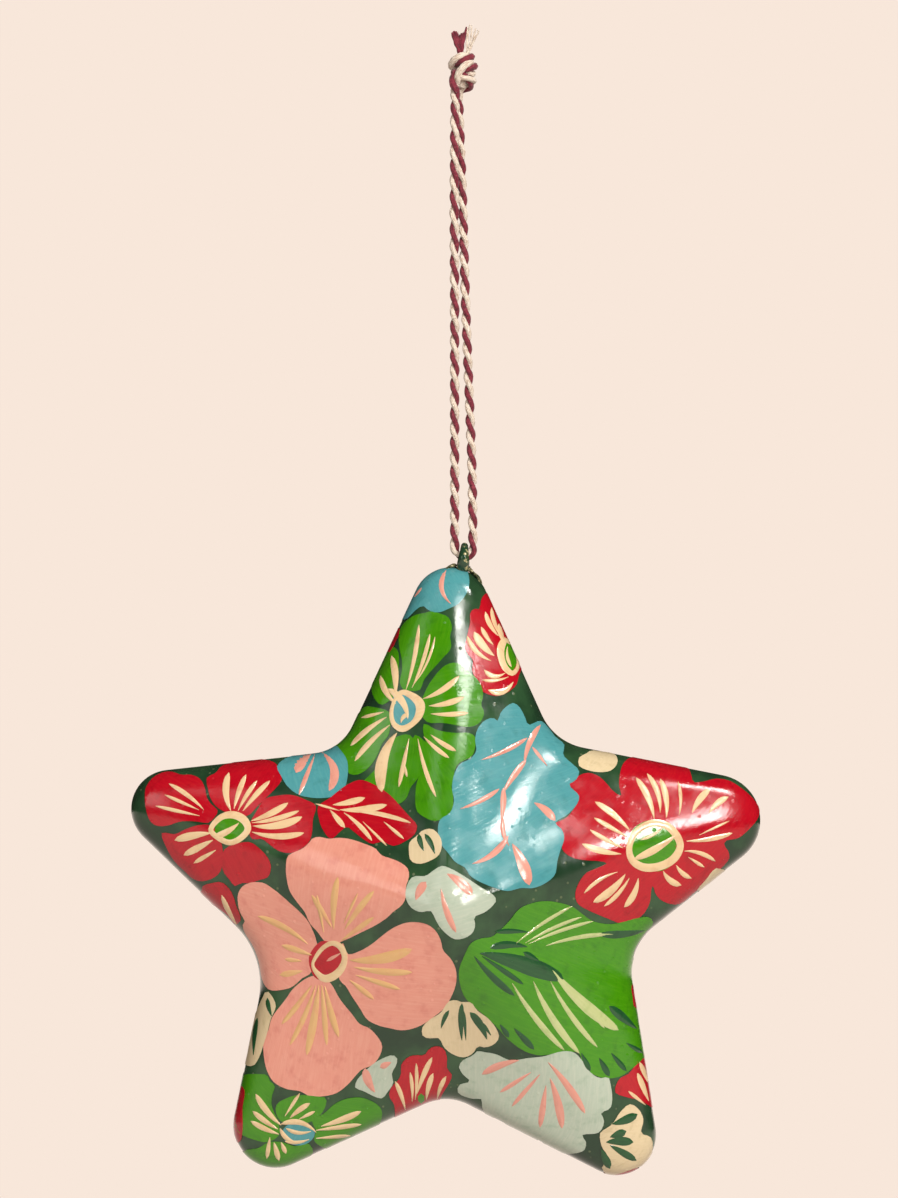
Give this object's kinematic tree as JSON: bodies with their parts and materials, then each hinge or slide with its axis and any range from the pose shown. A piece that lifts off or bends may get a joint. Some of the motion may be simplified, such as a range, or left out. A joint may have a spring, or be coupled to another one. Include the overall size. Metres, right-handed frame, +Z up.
{
  "type": "hanging star ornament",
  "caption": "Hollow puffed star in glossy painted papier-mache, hung by a wire eye from a doubled loop of twisted cord that is knotted at the top.",
  "frame": {"origin": "the hanging point, between the two legs of the cord loop just under its knot", "axes": "+Z up along the cord, -Y towards the front of the star, +X to the right as the front is seen"},
  "size_m": [0.0996, 0.0354, 0.1826],
  "materials": {
    "lacquered_papier_mache": "gloss lacquer over painted flowers on dark green",
    "glue": "lacquered glue bead",
    "painted_wire": "thick gloss paint",
    "raw_pulp": "rough and unpainted",
    "cord": "soft two-ply cotton, one ply deep red and one cream",
    "yarn_red": "soft cotton yarn",
    "yarn_cream": "soft cotton yarn"
  },
  "bodies": {
    "loop_top": {"cord_knot": "cord", "cord_left_upper": "cord", "cord_right_upper": "cord", "cut_end_red": "yarn_red", "cut_end_cream": "yarn_cream"},
    "loop_bottom": {"cord_left_lower": "cord", "cord_right_lower": "cord"},
    "loop_bight": {"cord_bight": "cord"},
    "star": {"front_shell": "lacquered_papier_mache", "back_shell": "lacquered_papier_mache", "seam_glue": "glue", "hanging_eye": "painted_wire", "anchor_plug": "raw_pulp", "glue_collar": "glue"}
  },
  "joints": [
    {"name": "cord_twist", "type": "hinge", "parent": "loop_top", "child": "loop_bottom", "pos_m": [0, 0, -0.036], "axis": [0, 0, 1], "range_deg": [-170, 170]},
    {"name": "star_sway", "type": "hinge", "parent": "loop_bottom", "child": "loop_bight", "pos_m": [0, 0, -0.072], "axis": [0, 1, 0], "range_deg": [-90, 90]},
    {"name": "star_nod", "type": "hinge", "parent": "loop_bight", "child": "star", "pos_m": [0, 0, -0.07375], "axis": [1, 0, 0], "range_deg": [-105, 105]}
  ]
}
